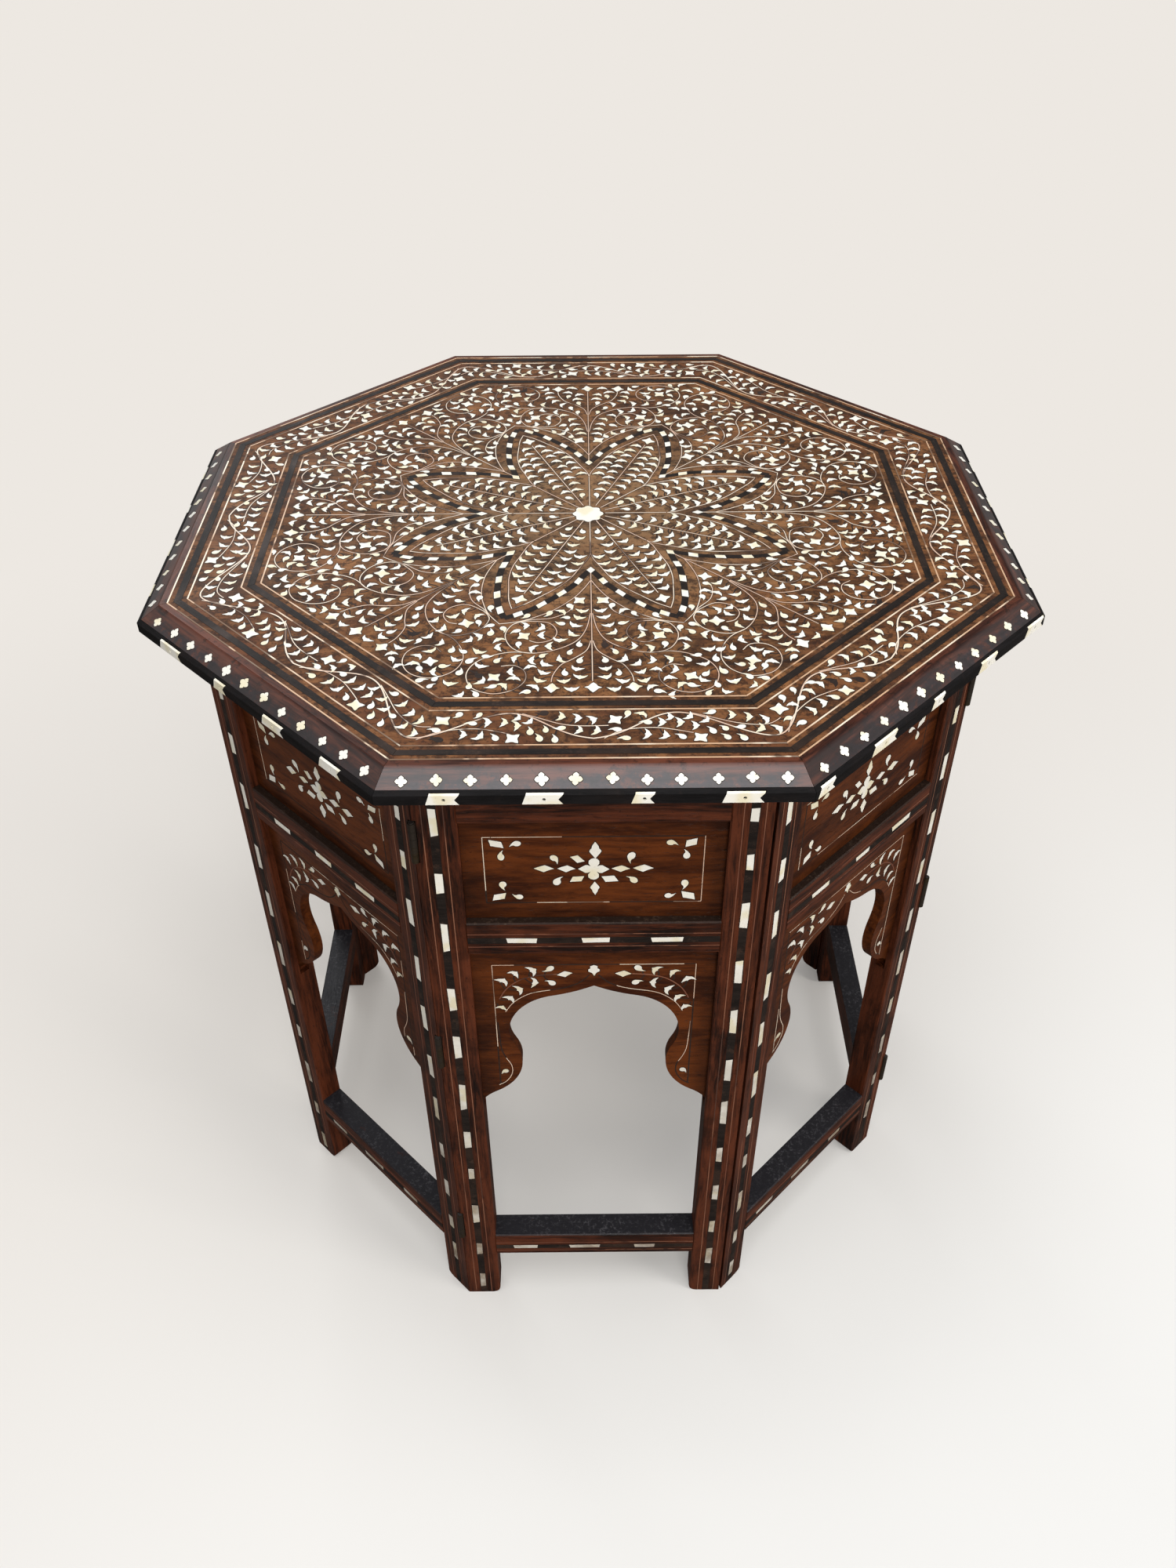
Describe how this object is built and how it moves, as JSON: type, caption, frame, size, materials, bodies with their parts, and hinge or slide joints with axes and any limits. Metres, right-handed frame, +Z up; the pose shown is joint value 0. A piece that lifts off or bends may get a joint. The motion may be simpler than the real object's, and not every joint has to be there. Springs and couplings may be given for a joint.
{
  "type": "octagonal side table",
  "caption": "Octagonal side table: a loose bevelled top on a ring of framed panels with lobed arches that folds flat on corner hinges.",
  "frame": {"origin": "on the floor under the middle of the table", "axes": "+Z up; -Y towards the front, out of the middle of the front panel; +X towards the right as seen from the front"},
  "size_m": [0.5, 0.5, 0.517],
  "materials": {
    "frame_rosewood": "oiled dark red-brown rosewood, worn",
    "rail_rosewood": "oiled dark red-brown rosewood, worn",
    "panel_rosewood": "oiled dark red-brown rosewood, worn",
    "top_wood": "golden-brown rosewood, rubbed and worn",
    "edge_wood": "dark rosewood moulding, dulled by handling",
    "ebony": "near-black hardwood, satin",
    "bone": null,
    "hinge_brass": "brass darkened with age",
    "screw_brass": "brass darkened with age",
    "hinge_pin_iron": "iron wire pin, dark"
  },
  "bodies": {
    "front_panel": {"front_stiles": "frame_rosewood", "front_rails": "rail_rosewood", "front_upper_panel": "panel_rosewood", "front_arch_panel": "panel_rosewood", "front_hinge_leaves": "hinge_brass", "front_hinge_screws": "screw_brass", "front_hinge_pins": "hinge_pin_iron"},
    "front_right_panel": {"front_right_stiles": "frame_rosewood", "front_right_rails": "rail_rosewood", "front_right_upper_panel": "panel_rosewood", "front_right_arch_panel": "panel_rosewood", "front_right_hinge_leaves": "hinge_brass", "front_right_hinge_screws": "screw_brass"},
    "right_panel": {"right_stiles": "frame_rosewood", "right_rails": "rail_rosewood", "right_upper_panel": "panel_rosewood", "right_arch_panel": "panel_rosewood", "right_hinge_leaves": "hinge_brass", "right_hinge_screws": "screw_brass", "right_hinge_pins": "hinge_pin_iron"},
    "back_right_panel": {"back_right_stiles": "frame_rosewood", "back_right_rails": "rail_rosewood", "back_right_upper_panel": "panel_rosewood", "back_right_arch_panel": "panel_rosewood", "back_right_hinge_leaves": "hinge_brass", "back_right_hinge_screws": "screw_brass"},
    "back_panel": {"back_stiles": "frame_rosewood", "back_rails": "rail_rosewood", "back_upper_panel": "panel_rosewood", "back_arch_panel": "panel_rosewood", "back_hinge_leaves": "hinge_brass", "back_hinge_screws": "screw_brass", "back_hinge_pins": "hinge_pin_iron"},
    "back_left_panel": {"back_left_stiles": "frame_rosewood", "back_left_rails": "rail_rosewood", "back_left_upper_panel": "panel_rosewood", "back_left_arch_panel": "panel_rosewood", "back_left_hinge_leaves": "hinge_brass", "back_left_hinge_screws": "screw_brass"},
    "left_panel": {"left_stiles": "frame_rosewood", "left_rails": "rail_rosewood", "left_upper_panel": "panel_rosewood", "left_arch_panel": "panel_rosewood", "left_hinge_leaves": "hinge_brass", "left_hinge_screws": "screw_brass", "left_hinge_pins": "hinge_pin_iron"},
    "front_left_panel": {"front_left_stiles": "frame_rosewood", "front_left_rails": "rail_rosewood", "front_left_upper_panel": "panel_rosewood", "front_left_arch_panel": "panel_rosewood", "front_left_hinge_leaves": "hinge_brass", "front_left_hinge_screws": "screw_brass"},
    "table_top": {"top_board": "top_wood", "top_edge_moulding": "edge_wood", "top_edge_banding": "ebony", "top_edge_plaques": "bone", "top_ebony_strips": "ebony", "top_bone_lines": "bone"}
  },
  "joints": [
    {"name": "fold", "type": "hinge", "parent": "front_panel", "child": "front_right_panel", "pos_m": [0.08533, -0.206, 0], "axis": [0, 0, 1], "range_deg": [0, 126]},
    {"name": "front_right_to_right", "type": "hinge", "parent": "front_right_panel", "child": "right_panel", "pos_m": [0.222, -0.09195, 0], "axis": [0, 0, -1], "range_deg": [0, 210]},
    {"name": "right_to_back_right", "type": "hinge", "parent": "right_panel", "child": "back_right_panel", "pos_m": [0.206, 0.08533, 0], "axis": [0, 0, 1], "range_deg": [0, 126]},
    {"name": "back_right_to_back", "type": "hinge", "parent": "back_right_panel", "child": "back_panel", "pos_m": [0.09195, 0.222, 0], "axis": [0, 0, -1], "range_deg": [0, 42]},
    {"name": "front_to_front_left", "type": "hinge", "parent": "front_panel", "child": "front_left_panel", "pos_m": [-0.09195, -0.222, 0], "axis": [0, 0, 1], "range_deg": [0, 42]},
    {"name": "front_left_to_left", "type": "hinge", "parent": "front_left_panel", "child": "left_panel", "pos_m": [-0.206, -0.08533, 0], "axis": [0, 0, -1], "range_deg": [0, 126]},
    {"name": "left_to_back_left", "type": "hinge", "parent": "left_panel", "child": "back_left_panel", "pos_m": [-0.222, 0.09195, 0], "axis": [0, 0, 1], "range_deg": [0, 210]},
    {"name": "top_lift", "type": "slide", "parent": "front_panel", "child": "table_top", "axis": [0, 0, 1], "range_m": [0, 0.3]}
  ],
  "couplings": [
    {"joint": "front_right_to_right", "follows": "fold", "ratio": 1.6667},
    {"joint": "right_to_back_right", "follows": "fold", "ratio": 1},
    {"joint": "back_right_to_back", "follows": "fold", "ratio": 0.33333},
    {"joint": "front_to_front_left", "follows": "fold", "ratio": 0.33333},
    {"joint": "front_left_to_left", "follows": "fold", "ratio": 1},
    {"joint": "left_to_back_left", "follows": "fold", "ratio": 1.6667}
  ]
}
